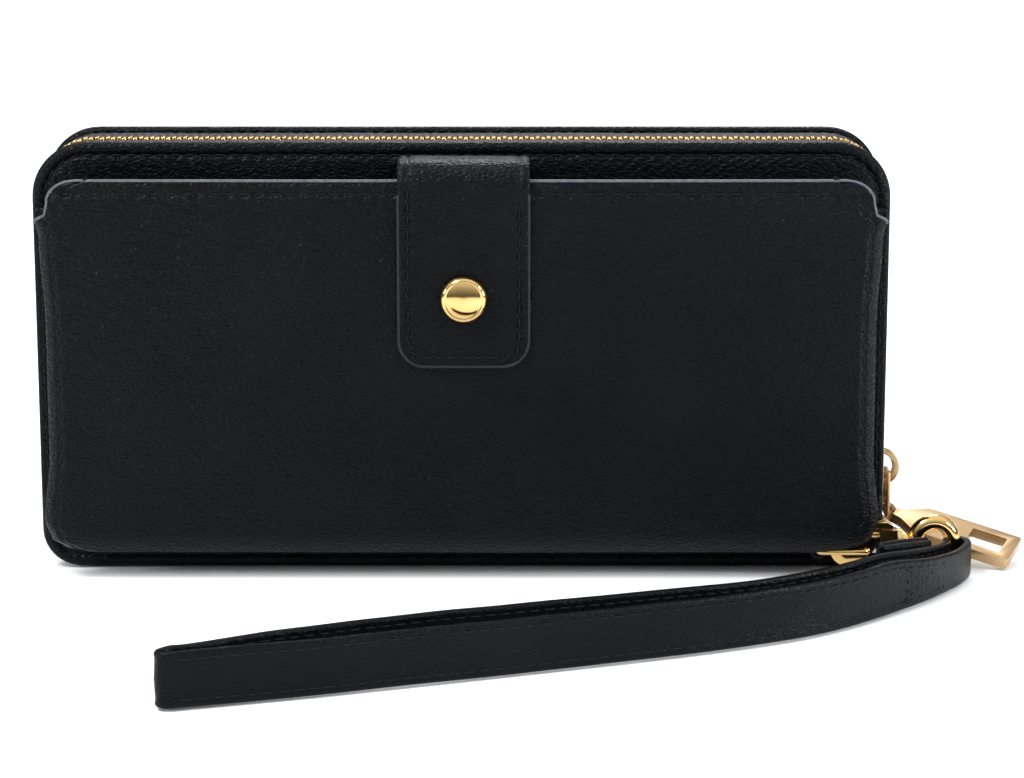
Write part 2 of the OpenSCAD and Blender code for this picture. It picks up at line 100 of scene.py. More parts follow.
def new_material(name, colour, roughness, metallic=0.0, **sockets):
    """A material with its main shader; the other constants are set on the shader's own sockets."""
    material = bpy.data.materials.new(name)
    material.use_nodes = True
    shader = material.node_tree.nodes["Principled BSDF"]
    shader.inputs["Base Color"].default_value = (*colour, 1)
    shader.inputs["Roughness"].default_value = roughness
    shader.inputs["Metallic"].default_value = metallic
    for key, value in sockets.items():
        shader.inputs[key.replace("_", " ")].default_value = value
    return material, shader


def add(material, kind, **settings):
    node = material.node_tree.nodes.new(kind)
    for key, value in settings.items():
        setattr(node, key, value)
    return node


def link(material, out, into):
    material.node_tree.links.new(out, into)


def place_texture(material, kind, scale, stretch=(1, 1, 1), **inputs):
    """A texture in the object's own coordinates; scale counts features in a metre."""
    where = add(material, "ShaderNodeTexCoord")
    mapping = add(material, "ShaderNodeMapping")
    mapping.inputs["Scale"].default_value = stretch
    link(material, where.outputs["Object"], mapping.inputs["Vector"])
    texture = add(material, kind)
    texture.inputs["Scale"].default_value = scale
    for key, value in inputs.items():
        texture.inputs[key].default_value = value
    link(material, mapping.outputs["Vector"], texture.inputs["Vector"])
    return texture


def bump(material, height, strength, distance, below=None):
    node = add(material, "ShaderNodeBump")
    node.inputs["Strength"].default_value = strength
    node.inputs["Distance"].default_value = distance
    link(material, height, node.inputs["Height"])
    if below:
        link(material, below, node.inputs["Normal"])
    return node.outputs["Normal"]


def ramp(material, value, low, high, low_colour, high_colour):
    node = add(material, "ShaderNodeValToRGB")
    node.color_ramp.elements[0].position = low
    node.color_ramp.elements[0].color = (*low_colour, 1)
    node.color_ramp.elements[1].position = high
    node.color_ramp.elements[1].color = (*high_colour, 1)
    link(material, value, node.inputs["Fac"])
    return node.outputs["Color"]


def spread(material, value, low, high):
    node = add(material, "ShaderNodeMapRange")
    node.inputs["To Min"].default_value = low
    node.inputs["To Max"].default_value = high
    link(material, value, node.inputs["Value"])
    return node.outputs["Result"]


LEATHER_DARK = (0.0012, 0.0015, 0.0022)
LEATHER_ROUGHNESS = (0.25, 0.42)


def leather(name, grain=1050, relief=1.0, light=(0.0026, 0.0031, 0.0043)):
    """Fine pebble-grained leather: cells with creases between them, in patches of darker and lighter tone."""
    material, shader = new_material(name, light, 0.45, Specular_IOR_Level=0.1)
    cells = place_texture(material, "ShaderNodeTexVoronoi", grain, (1, 1, 1.7))
    cells.feature = "SMOOTH_F1"
    cells.inputs["Smoothness"].default_value = 0.35
    drift = place_texture(material, "ShaderNodeTexNoise", 260, (1, 1, 1.4), Detail=3.0)
    push = add(material, "ShaderNodeVectorMath", operation="SCALE")
    push.inputs["Scale"].default_value = 0.0028
    link(material, drift.outputs["Color"], push.inputs["Vector"])
    moved = add(material, "ShaderNodeVectorMath", operation="ADD")
    link(material, cells.inputs["Vector"].links[0].from_socket, moved.inputs[0])
    link(material, push.outputs["Vector"], moved.inputs[1])
    link(material, moved.outputs["Vector"], cells.inputs["Vector"])
    creases = place_texture(material, "ShaderNodeTexNoise", 520, (1, 1, 1.9), Detail=5.0, Roughness=0.6)
    patches = place_texture(material, "ShaderNodeTexNoise", 38, (1, 1, 1), Detail=3.0)
    pores = place_texture(material, "ShaderNodeTexNoise", 2600, (1, 1, 1), Detail=2.0)
    colour = ramp(material, patches.outputs["Fac"], 0.3, 0.75, LEATHER_DARK, light)
    link(material, colour, shader.inputs["Base Color"])
    link(material, spread(material, creases.outputs["Fac"], *LEATHER_ROUGHNESS), shader.inputs["Roughness"])
    edge = ramp(material, cells.outputs["Distance"], 0.15, 0.75, (1, 1, 1), (0, 0, 0))
    first = bump(material, creases.outputs["Fac"], 0.5 * relief, 0.0003)
    second = bump(material, edge, 0.8 * relief, 0.0002, first)
    third = bump(material, pores.outputs["Fac"], 0.3, 0.00006, second)
    link(material, third, shader.inputs["Normal"])
    return material


def woven(name, colour):
    """A close plain weave."""
    material, shader = new_material(name, colour, 0.8, Sheen_Weight=0.25)
    heights = []
    for stretch in ((1, 0, 0), (0, 0, 1)):
        wave = place_texture(material, "ShaderNodeTexWave", 1500, stretch, Distortion=0.4)
        wave.bands_direction = "DIAGONAL"
        heights.append(wave.outputs["Fac"])
    both = add(material, "ShaderNodeMath", operation="MULTIPLY")
    link(material, heights[0], both.inputs[0])
    link(material, heights[1], both.inputs[1])
    dull = tuple(0.55 * c for c in colour)
    link(material, ramp(material, both.outputs["Value"], 0.0, 0.7, dull, colour), shader.inputs["Base Color"])
    link(material, bump(material, both.outputs["Value"], 0.6, 0.00015), shader.inputs["Normal"])
    return material


def tape_weave(name):
    """Zip tape: fine ribs across its width."""
    material, shader = new_material(name, (0.006, 0.0068, 0.009), 0.6, Specular_IOR_Level=0.25)
    ribs = place_texture(material, "ShaderNodeTexWave", 330, (1, 0, 1), Distortion=0.6)
    ribs.bands_direction = "DIAGONAL"
    cloth = place_texture(material, "ShaderNodeTexNoise", 1800, (1, 1, 1), Detail=3.0)
    colour = ramp(material, ribs.outputs["Fac"], 0.1, 0.9, (0.004, 0.0045, 0.006), (0.011, 0.0125, 0.017))
    link(material, colour, shader.inputs["Base Color"])
    first = bump(material, ribs.outputs["Fac"], 0.5, 0.0002)
    link(material, bump(material, cloth.outputs["Fac"], 0.3, 0.0001, first), shader.inputs["Normal"])
    return material


def metal(name, colour, worn, roughness, grain=0.0):
    """Plated metal: a little colour drift, handling marks in the gloss and, where grain is given, a brushed face."""
    material, shader = new_material(name, colour, roughness[0], 1.0)
    drift = place_texture(material, "ShaderNodeTexNoise", 160, (1, 1, 1), Detail=4.0)
    link(material, ramp(material, drift.outputs["Fac"], 0.35, 0.7, worn, colour), shader.inputs["Base Color"])
    marks = place_texture(material, "ShaderNodeTexNoise", 900, (1, 1, 3), Detail=5.0)
    link(material, spread(material, marks.outputs["Fac"], *roughness), shader.inputs["Roughness"])
    normal = bump(material, marks.outputs["Fac"], 0.05, 0.00004)
    if grain:
        brushed = place_texture(material, "ShaderNodeTexNoise", grain, (0.06, 1, 1), Detail=3.0)
        normal = bump(material, brushed.outputs["Fac"], 0.12, 0.00004, normal)
    link(material, normal, shader.inputs["Normal"])
    return material


def plain_stuff(name, colour, roughness, grain, depth):
    """Thread, edge paint or board: fine irregular grain in colour and relief."""
    material, shader = new_material(name, colour, roughness, Specular_IOR_Level=0.2)
    fibre = place_texture(material, "ShaderNodeTexNoise", grain, (1, 1, 1), Detail=4.0)
    dull = tuple(0.6 * c for c in colour)
    link(material, ramp(material, fibre.outputs["Fac"], 0.3, 0.7, dull, colour), shader.inputs["Base Color"])
    link(material, bump(material, fibre.outputs["Fac"], 0.4, depth), shader.inputs["Normal"])
    return material


LEATHER = leather("wallet_leather")
STRAP_LEATHER = leather("strap_leather", 1350, 0.55, light=(0.0024, 0.0029, 0.004))
LINING = woven("lining_cloth", (0.012, 0.012, 0.014))
TAPE = tape_weave("zip_tape_weave")
POLISHED = metal("polished_gold", (0.78, 0.54, 0.22), (0.68, 0.45, 0.17), (0.06, 0.15))
SATIN = metal("satin_gold", (0.5, 0.345, 0.185), (0.42, 0.28, 0.14), (0.26, 0.38), 2200)
TOOTH_GOLD = metal("tooth_gold", (0.72, 0.5, 0.2), (0.55, 0.36, 0.13), (0.2, 0.34))
STEEL = metal("plated_steel", (0.62, 0.62, 0.64), (0.5, 0.5, 0.52), (0.18, 0.3))
THREAD = plain_stuff("black_thread", (0.0022, 0.0025, 0.0032), 0.6, 3000, 0.0001)
# The pocket's top edge paint: a real edge paint, made a lighter grey so that it also paints the highlight along that
# edge; the tab's darker edge paint below is plain edge paint.
EDGE_PAINT_AND_HIGHLIGHT = plain_stuff("edge_paint", (0.1, 0.11, 0.125), 0.45, 900, 0.00005)
TAB_EDGE_PAINT = plain_stuff("tab_edge_paint", (0.016, 0.018, 0.022), 0.4, 900, 0.00005)
BOARD = plain_stuff("pressed_board", (0.3, 0.28, 0.25), 0.9, 1200, 0.0002)


# ---------- mesh helpers, in millimetres ----------

def piece(name, points, faces, material, body=None):
    """A mesh object from points in millimetres, riding on a body."""
    mesh = bpy.data.meshes.new(name)
    mesh.from_pydata([Vector(p) * MM for p in points], [], faces)
    mesh.validate()
    made = bmesh.new()
    made.from_mesh(mesh)
    bmesh.ops.recalc_face_normals(made, faces=made.faces)
    made.to_mesh(mesh)
    made.free()
    mesh.polygons.foreach_set("use_smooth", [True] * len(mesh.polygons))
    mesh.materials.append(material)
    thing = bpy.data.objects.new(name, mesh)
    bpy.context.scene.collection.objects.link(thing)
    if body:
        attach(thing, body)
    return thing


def sheet_faces(rows, columns, round_rows=False, round_columns=False):
    """Quads over a grid of points stored row by row."""
    faces = []
    for i in range(rows if round_rows else rows - 1):
        for j in range(columns if round_columns else columns - 1):
            a, b = i * columns, (i + 1) % rows * columns
            k = (j + 1) % columns
            faces.append((a + j, a + k, b + k, b + j))
    return faces


def apply_modifier(thing, kind, **settings):
    """Adds a modifier and applies it."""
    modifier = thing.modifiers.new(kind.lower(), kind)
    for key, value in settings.items():
        setattr(modifier, key, value)
    with bpy.context.temp_override(object=thing, active_object=thing, selected_objects=[thing]):
        bpy.ops.object.modifier_apply(modifier=modifier.name)


def thicken(thing, thickness_mm, offset=-1.0):
    apply_modifier(thing, "SOLIDIFY", thickness=thickness_mm * MM, offset=offset)


def swell(x, start, end):
    """0 before start, 1 after end and smooth between."""
    t = min(max((x - start) / (end - start), 0.0), 1.0)
    return t * t * (3 - 2 * t)


def resampled(path, step):
    """Points a step apart along a path of vectors."""
    out, carried = [path[0].copy()], 0.0
    for a, b in zip(path, path[1:]):
        length = (b - a).length
        if length == 0:
            continue
        at = step - carried
        while at <= length:
            out.append(a.lerp(b, at / length))
            at += step
        carried = (carried + length) % step
    return out


def stitches(name, paths, body, outwards, length=2.5, step=3.3, radius=0.26):
    """Rows of sewn stitches: plump short threads that dip into the leather at both ends."""
    sides, rings = 6, 6
    points, faces = [], []
    for path in paths:
        marks = resampled([Vector(p) for p in path], step)
        for a, b in zip(marks, marks[1:]):
            along = (b - a).normalized()
            out = Vector(outwards(a) if callable(outwards) else outwards).normalized()
            across = along.cross(out).normalized()
            base = len(points)
            for i in range(rings):
                t = i / (rings - 1)
                lift = math.sin(math.pi * t)
                centre = a + along * (length * (t - 0.5)) + out * (0.2 * lift - 0.12)
                r = radius * (0.45 + 0.55 * lift)
                for k in range(sides):
                    angle = TAU * k / sides
                    points.append(centre + across * (r * math.cos(angle)) + out * (r * math.sin(angle)))
            for i in range(rings - 1):
                for k in range(sides):
                    n = (k + 1) % sides
                    low, high = base + i * sides, base + (i + 1) * sides
                    faces.append((low + k, low + n, high + n, high + k))
            faces.append(tuple(base + k for k in range(sides)))
            faces.append(tuple(base + (rings - 1) * sides + k for k in range(sides)))
    return piece(name, points, faces, THREAD, body)


def tube(name, path, radius, material, body, sides=10, closed=False):
    """A round bead along a path."""
    path = [Vector(p) for p in path]
    points = []
    count = len(path)
    for i, p in enumerate(path):
        before = path[(i - 1) % count] if closed or i else p
        after = path[(i + 1) % count] if closed or i < count - 1 else p
        along = (after - before).normalized()
        side = along.cross(Vector((0, 1, 0)))
        side = side.normalized() if side.length > 0.1 else along.cross(Vector((0, 0, 1))).normalized()
        up = side.cross(along).normalized()
        for k in range(sides):
            angle = TAU * k / sides
            points.append(p + side * (radius * math.cos(angle)) + up * (radius * math.sin(angle)))
    faces = sheet_faces(count, sides, closed, True)
    if not closed:
        faces.append(tuple(range(sides)))
        faces.append(tuple((count - 1) * sides + k for k in range(sides)))
    return piece(name, points, faces, material, body)


def softened(node, width_mm, material, body, segments=2):
    """A piece shaped like a CAD node with its edges rounded over; it stands in for the node."""
    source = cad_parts[node]
    source = source if isinstance(source, bpy.types.Object) else bpy.data.objects[node]
    bpy.context.view_layer.update()
    mesh = source.data.copy()
    mesh.transform(source.matrix_world)
    made = bmesh.new()
    made.from_mesh(mesh)
    bmesh.ops.remove_doubles(made, verts=made.verts, dist=1e-6)
    bmesh.ops.dissolve_limit(made, angle_limit=math.radians(1), verts=made.verts, edges=made.edges)
    made.to_mesh(mesh)
    made.free()
    mesh.materials.clear()
    mesh.materials.append(material)
    thing = bpy.data.objects.new(node + "_worn", mesh)
    bpy.context.scene.collection.objects.link(thing)
    apply_modifier(thing, "BEVEL", width=width_mm * MM, segments=segments, limit_method="ANGLE",
                   angle_limit=math.radians(35), use_clamp_overlap=True, harden_normals=False)
    mesh = thing.data
    mesh.polygons.foreach_set("use_smooth", [True] * len(mesh.polygons))
    mesh.set_sharp_from_angle(angle=math.radians(50))
    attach(thing, body)
    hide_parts(node)
    return thing


# ---------- outlines, in millimetres ----------

def arc(cx, cz, r, start, end, steps):
    """Points on an arc; angles in degrees."""
    turn = [math.radians(start + (end - start) * i / steps) for i in range(steps + 1)]
    return [(cx + r * math.cos(a), cz + r * math.sin(a)) for a in turn]


def even(points, count, closed):
    """The same line with evenly spaced points."""
    points = [Vector(p) for p in points]
    if closed:
        points = points + [points[0]]
    lengths = [0.0]
    for a, b in zip(points, points[1:]):
        lengths.append(lengths[-1] + (b - a).length)
    out, k = [], 0
    spans = count if closed else count - 1
    for i in range(count):
        at = lengths[-1] * i / spans
        while k < len(points) - 2 and lengths[k + 1] < at:
            k += 1
        share = (at - lengths[k]) / max(lengths[k + 1] - lengths[k], 1e-9)
        out.append(points[k].lerp(points[k + 1], min(share, 1.0)))
    return out


def cover_line(inset, open_foot=False):
    """The covers' outline, moved inwards; open_foot leaves the foot's straight part out."""
    w, top = HALF_W, HEIGHT
    rt, rf = TOP_R - inset, FOOT_R - inset
    line = arc(w - FOOT_R, FOOT_R, rf, -90, 0, 8) + arc(w - TOP_R, top - TOP_R, rt, 0, 90, 12)
    line += arc(TOP_R - w, top - TOP_R, rt, 90, 180, 12) + arc(FOOT_R - w, FOOT_R, rf, 180, 270, 8)
    if open_foot:
        return line
    steps = [FOOT_R - w + 2 * (w - FOOT_R) * i / 12 for i in range(1, 12)]
    return line + [(x, inset) for x in steps]


def panel_half_width(z):
    """Half the phone pocket's width at a height: waisted, with rounded shoulders and foot."""
    shoulder = z - SHOULDER_Z
    if shoulder > 0:
        return PANEL_HIGH[0] - SHOULDER_IN + 6.6 * math.sqrt(max(1 - (shoulder / 4.6) ** 2, 0.0))
    marks = [
        (POCKET_FOOT, PANEL_HIGH[0] - 8.4), (POCKET_FOOT + 1.2, PANEL_HIGH[0] - 4.2),
        (POCKET_FOOT + 3.4, PANEL_HIGH[0] - 1.5), (POCKET_FOOT + 7.8, PANEL_HIGH[0] - 0.1),
        (POCKET_FOOT + 24, PANEL_HIGH[0] - 1.6), (0.6 * HEIGHT, PANEL_HIGH[0] - 1.7),
        (POCKET_TOP - 14, PANEL_HIGH[0] - 0.7), (POCKET_TOP - 9.4, PANEL_HIGH[0] - 0.1),
        (POCKET_TOP - 7.6, PANEL_HIGH[0] - 2.7), (POCKET_TOP - 4.6, PANEL_HIGH[0] - 3.2),
    ]
    for (za, wa), (zb, wb) in zip(marks, marks[1:]):
        if z <= zb:
            return wa + (wb - wa) * swell(z, za, zb)
    return marks[-1][1]


def waves(x, z, seed=0.0, size=38.0):
    """Slow unevenness of a leather face, about -1 to 1."""
    return noise.noise(Vector((x / size, z / size, seed))) * 1.6


# ---------- phone pocket ----------

def pocket_face_y(x, z):
    """The front face of the phone pocket's panel: full in the middle, rolled back at its sides and foot."""
    side = panel_half_width(z) - abs(x)
    flat = 1 - 0.85 * swell(z, POCKET_TOP - 12, POCKET_TOP - 8)
    roll = 2.3 * flat * max(0.0, 1 - side / 4.2) ** 2.2 + 2.5 * max(0.0, 1 - (z - POCKET_FOOT) / 6.0) ** 2.2
    fullness = 0.9 * (1 - (x / 98) ** 2) * math.sin(math.pi * swell(z, POCKET_FOOT, POCKET_TOP + 14))
    below, beside = z - POCKET_TOP + 2.9, side - 2.9
    seam = 0.42 * math.exp(-(below / 0.55) ** 2) + 0.34 * math.exp(-(beside / 0.55) ** 2)
    pucker = 0.13 * math.sin(TAU * x / STITCH_STEP) * math.exp(-((below + 0.9) / 0.9) ** 2)
    pucker += 0.1 * math.sin(TAU * z / STITCH_STEP) * math.exp(-((beside - 0.9) / 0.9) ** 2) * (below < -2)
    lip = 0.25 * swell(z, POCKET_TOP - 1.4, POCKET_TOP)
    pull = 0.35 * math.exp(-(((x - TAB_X) / 9) ** 2 + ((z - SNAP_Z) / 9) ** 2))
    return POCKET_Y - fullness + roll + seam + pucker + lip + pull - 0.22 * waves(x, z, 3.1)


def build_pocket_panel():
    rows, columns = 96, 300
    points = []
    for i in range(rows):
        t = i / (rows - 1)
        if t < 0.3:
            z = POCKET_FOOT + 12 * (t / 0.3) ** 1.3
        elif t > 0.65:
            z = POCKET_TOP - 16 * ((1 - t) / 0.35) ** 1.7
        else:
            z = POCKET_FOOT + 12 + (POCKET_TOP - POCKET_FOOT - 28) * (t - 0.3) / 0.35
        w = panel_half_width(z)
        for j in range(columns):
            u = 2 * j / (columns - 1) - 1
            x = w * (0.72 * u + 0.28 * math.copysign(1 - (1 - abs(u)) ** 2.4, u))
            points.append((x, pocket_face_y(x, z), z))
    panel = piece("phone_pocket_panel", points, sheet_faces(rows, columns), LEATHER, "front_half")
    facing = panel.data.polygons[len(panel.data.polygons) // 2].normal.y
    if facing > 0:
        panel.data.flip_normals()
    thicken(panel, PANEL_T)
    apply_modifier(panel, "BEVEL", width=0.25 * MM, segments=2, limit_method="ANGLE", angle_limit=math.radians(55))
    panel.data.polygons.foreach_set("use_smooth", [True] * len(panel.data.polygons))
    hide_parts("pocket_front")
    rim = [(panel_half_width(POCKET_TOP - 9.6 + 0.3 * k), POCKET_TOP - 9.6 + 0.3 * k) for k in range(32)]
    rim += [(PANEL_HIGH[0] - SHOULDER_IN - 2 * k, POCKET_TOP) for k in range(88)]
    rim = [(x, z) for x, z in rim if x >= 0]
    rim = rim + [(-x, z) for x, z in reversed(rim) if x > 0]
    # A bead of edge paint along the pocket's top edge; its light grey is partly the paint and partly a painted
    # highlight where that edge catches the light.
    bead = [(x, pocket_face_y(x, z) + 0.5, z - 0.05) for x, z in rim]
    tube("phone_pocket_edge_paint_and_highlight", bead, 0.52, EDGE_PAINT_AND_HIGHLIGHT, "front_half", 8)
    side = 2.9
    row = [(x, 0, POCKET_TOP - 2.9) for x in range(-90, 91, 2)]
    down = [(panel_half_width(z) - side, 0, z) for z in range(int(POCKET_TOP) - 5, int(POCKET_FOOT) + 4, -1)]
    up = [(-x, 0, z) for x, _, z in down]
    paths = [[(x, pocket_face_y(x, z), z) for x, _, z in path] for path in (row, down, up)]
    stitches("phone_pocket_stitches", paths, "front_half", (0, -1, 0), 2.6, 3.4, 0.25)


def build_gussets():
    for side in (-1, 1):
        name = "right" if side > 0 else "left"
        node = "pocket_gusset_" + name
        low, high = millimetres(node)
        wall, flange = (low[0], high[0]) if side > 0 else (high[0], low[0])
        rows, points = 60, []
        section = [
            (wall, POCKET_Y + 1.5), (wall + side * 0.35, POCKET_Y + 4), (wall - side * 0.5, -20.4),
            (wall + side * 0.4, -17.2), (wall + side * 0.7, FRONT_Y - 1.3), (wall + side * 1.6, FRONT_Y - 0.75),
            (wall + side * 3.4, FRONT_Y - 0.6), (flange, FRONT_Y - 0.55),
        ]
        line = even(section, 22, False)
        for i in range(rows):
            z = low[2] + (high[2] - low[2]) * i / (rows - 1)
            for k, p in enumerate(line):
                fold = 0.5 * noise.noise(Vector((k * 0.2, z / 9, side * 4.0)))
                inner = 1 - abs(2 * k / (len(line) - 1) - 1)
                points.append((p.x + fold * inner, p.y, z))
        faces = sheet_faces(rows, len(line))
        strip = piece("phone_pocket_gusset_" + name, points, faces, LEATHER, "front_half")
        thicken(strip, 0.9, 0.0)
        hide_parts(node)
        sewn = [(flange - side * 1.5, FRONT_Y - 1.02, z) for z in range(int(low[2]) + 2, int(high[2]) - 1)]
        stitches("gusset_stitches_" + name, [sewn], "front_half", (0, -1, 0), 2.4, 3.3, 0.24)


# ---------- covers and spine ----------

def build_cover(name, node, face_y, way, body):
    """A cover with its edge rolled in; way is the direction its outside faces along Y."""
    depth = abs(COVER_HIGH[1] - COVER_LOW[1])
    rings = [
        (7.0, 0.0), (4.2, 0.02), (3.6, 0.12), (3.25, 0.36), (3.0, 0.5), (2.75, 0.36), (2.4, 0.06), (1.9, -0.12),
        (1.2, -0.08), (0.6, 0.12), (0.2, 0.5), (0.0, 1.0), (0.02, 1.6), (0.25, 2.15), (0.7, 2.5), (1.35, depth),
    ]
    points = []
    count = 720
    for inset, back in rings:
        line = even(cover_line(inset), count, True)
        for i, p in enumerate(line):
            pucker = 0.13 * math.sin(TAU * i * 0.84 / STITCH_STEP) * math.exp(-((inset - 4.0) / 0.9) ** 2)
            soft = 0.12 * waves(p.x, p.y, way * 2.0, 30) * (1 if inset > 0.1 else 0.4)
            points.append((p.x, face_y - way * (back + pucker + soft * 0.6), p.y))
    faces = sheet_faces(len(rings), count, False, True)
    middle = []
    for line_inset in (16.0, 30.0, 44.0):
        line = even(cover_line(min(line_inset, 8.9)), count, True)
        shrink = (line_inset - 8.9) / 44.0 if line_inset > 8.9 else 0.0
        centre = Vector((0, HEIGHT / 2))
        across, up = 1 - shrink * 0.45, 1 - shrink * 0.9
        scaled = [centre + Vector(((p.x - centre.x) * across, (p.y - centre.y) * up)) for p in line]
        start = len(points)
        for p in scaled:
            points.append((p.x, face_y - way * 0.12 * 0.6 * waves(p.x, p.y, way * 2.0, 30), p.y))
        middle.append(start)
    order = [0] + middle
    for a, b in zip(order, order[1:]):
        for i in range(count):
            n = (i + 1) % count
            faces.append((a + i, a + n, b + n, b + i))
    faces.append(tuple(middle[-1] + i for i in range(count)))
    cover = piece(name, points, faces, LEATHER, body)
    facing = cover.data.polygons[-1].normal.y * way
    if facing < 0:
        cover.data.flip_normals()
    thicken(cover, COVER_T)
    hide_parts(node)
    seam = [(p.x, face_y - way * 0.3, p.y) for p in even(cover_line(3.0, True), 400, False)]
    stitches(name + "_stitches", [seam], body, (0, way, 0), 2.5, 3.4, 0.25)


def build_spine():
    """The bent strip of leather along the spine, a little full between its folds."""
    low, high = millimetres("spine_panel")
    rows, columns = 16, 90
    points = []
    for i in range(rows):
        t = i / (rows - 1)
        y = low[1] + (high[1] - low[1]) * t
        for j in range(columns):
            x = low[0] + (high[0] - low[0]) * j / (columns - 1)
            edge = max(0.0, 1 - (high[0] - abs(x)) / 2.5) ** 2
            lift = 0.55 * max(abs(2 * t - 1) - 0.78, 0) / 0.22
            points.append((x, y, low[2] + 0.12 + 0.3 * edge + lift + 0.06 * waves(x, y, 8.0, 14)))
    spine = piece("spine_leather", points, sheet_faces(rows, columns), LEATHER, "front_half")
    if spine.data.polygons[len(spine.data.polygons) // 2].normal.z > 0:
        spine.data.flip_normals()
    thicken(spine, THIN_T)
    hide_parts("spine_panel")
    rowy = [(low[1] + 1.8), (high[1] - 1.8)]
    paths = [[(x, y, low[2] + 0.1) for x in range(-88, 89, 2)] for y in rowy]
    stitches("spine_stitches", paths, "front_half", (0, 0, -1), 2.5, 3.4, 0.18)


# ---------- snap tab ----------

def build_tab():
    """One strip sewn to the front cover, passing over the pocket's mouth and down its face."""
    half = (FLAP_HIGH[0] - FLAP_LOW[0]) / 2
    top = FLAP_HIGH[2] - 0.35
    face = FLAP_LOW[1] + 0.45
    foot = FLAP_LOW[2]
    rise = 72.0
    back = FRONT_Y - 0.55
    path = [(back, rise), (back, top - 4)]
    path += [(back - 3.4 + 3.4 * math.cos(a), top - 3.4 + 3.4 * math.sin(a)) for a in (0.4, 0.8, 1.2)]
    path += [(back - 4, top + 0.1), (face + 5.6, top + 0.12)]
    path += [(face + 4.8 - 4.8 * math.sin(a), top - 4.8 + 4.8 * math.cos(a)) for a in (0.3, 0.55, 0.8, 1.05, 1.35)]
    path += [(face, top - 6), (face - 0.25, top - 20), (face - 0.1, foot + 12), (face, foot)]
    line = even(path, 1200, False)
    total = sum((b - a).length for a, b in zip(line, line[1:]))
    corner = 6.0
    stops = [(total - corner) * i / 140 for i in range(140)]
    stops += [total - corner + corner * math.sin(0.5 * math.pi * i / 16) for i in range(17)]
    line = [line[min(round(at / total * 1199), 1199)] for at in stops]
    columns = 72
    points = []
    run = 0.0
    for i, p in enumerate(line):
        if i:
            run += (p - line[i - 1]).length
        left = total - run
        narrowing = 0.0
        if left < corner:
            narrowing = corner - math.sqrt(max(corner ** 2 - (corner - left) ** 2, 0.0))
        before, after = line[max(i - 1, 0)], line[min(i + 1, len(line) - 1)]
        along = (after - before).normalized()
        out = Vector((-along.y, along.x))
        if out.x > 0 and abs(along.x) < 0.5 and i > len(line) // 2:
            out = -out
        if i <= len(line) // 2 and out.y < 0:
            out = -out
        for j in range(columns):
            u = 2 * j / (columns - 1) - 1
            x = (half - narrowing) * (0.8 * u + 0.2 * math.copysign(1 - (1 - abs(u)) ** 2, u))
            edge = half - narrowing - abs(x)
            groove = -0.3 * math.exp(-((edge - 2.2) / 0.5) ** 2)
            crown = -0.35 * max(0.0, 1 - edge / 1.2) ** 2
            dish = -0.3 * math.exp(-((x / 8) ** 2 + ((p.y - SNAP_Z) / 8) ** 2)) if i > len(line) // 2 else 0
            lift = groove + crown + dish + 0.1 * waves(x + 60, run, 5.5, 12)
            points.append((TAB_X + x, p.x + out.x * lift, p.y + out.y * lift))
    tab = piece("snap_tab_leather", points, sheet_faces(len(line), columns), LEATHER, None)
    if tab.data.polygons[-columns].normal.y > 0:
        tab.data.flip_normals()
    thicken(tab, THIN_T, -0.4)
    apply_modifier(tab, "BEVEL", width=0.2 * MM, segments=2, limit_method="ANGLE", angle_limit=math.radians(55))
    tab.data.polygons.foreach_set("use_smooth", [True] * len(tab.data.polygons))
    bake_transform(tab)
    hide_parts("tab_root", "tab_flap")
    inset = half - 2.2
    y = face - 0.42
    u_path = [(TAB_X - inset, y, z) for z in range(92, int(foot) + 6, -1)]
    turn = corner - 2.2
    u_path += [(TAB_X + x, y, z) for x, z in arc(turn - inset, foot + corner, turn, 180, 270, 8)]
    u_path += [(TAB_X + x, y, z) for x, z in arc(inset - turn, foot + corner, turn, -90, 0, 8)]
    u_path += [(TAB_X + inset, y, z) for z in range(int(foot) + 7, 93)]
    stitches("snap_tab_stitches", [u_path], "snap_flap", (0, -1, 0), 2.3, 3.1, 0.22)
    root = [[(TAB_X + s * inset, back - 0.4, z) for z in range(75, 93)] for s in (-1, 1)]
    stitches("snap_tab_root_stitches", root, "front_half", (0, -1, 0), 2.3, 3.1, 0.22)
    lining = softened("tab_lining", 0.2, LINING, "snap_flap")
    for v in lining.data.vertices:
        v.co.z = min(v.co.z, (top - 5.5) * MM)
    rim = [(-half, 92.0)] + arc(corner - half, foot + corner, corner, 180, 270, 10)
    rim += arc(half - corner, foot + corner, corner, -90, 0, 10) + [(half, 92.0)]
    edge = [(TAB_X + x, face - 0.05, z) for x, z in even(rim, 120, False)]
    tube("snap_tab_edge_paint", edge, 0.34, TAB_EDGE_PAINT, "snap_flap", 8)


# ---------- zip ----------

def zip_line(out, count):
    """The zip's run from one foot over the top to the other, moved outwards by out, with outward directions."""
    x0, top, r = TAPE_HIGH[0] - 0.3, TAPE_HIGH[2] - 0.3, 11.3
    low = TAPE_LOW[2]
    line = [(x0, low + (top - r - low) * i / 20) for i in range(20)]
    line += arc(x0 - r, top - r, r, 0, 90, 14) + arc(r - x0, top - r, r, 90, 180, 14)
    line += [(-x0, top - r - (top - r - low) * i / 20) for i in range(1, 21)]
    line = even(line, count, False)
    found = []
    for i, p in enumerate(line):
        along = (line[min(i + 1, count - 1)] - line[max(i - 1, 0)]).normalized()
        normal = Vector((along.y, -along.x))
        found.append((p + normal * out, normal))
    return found


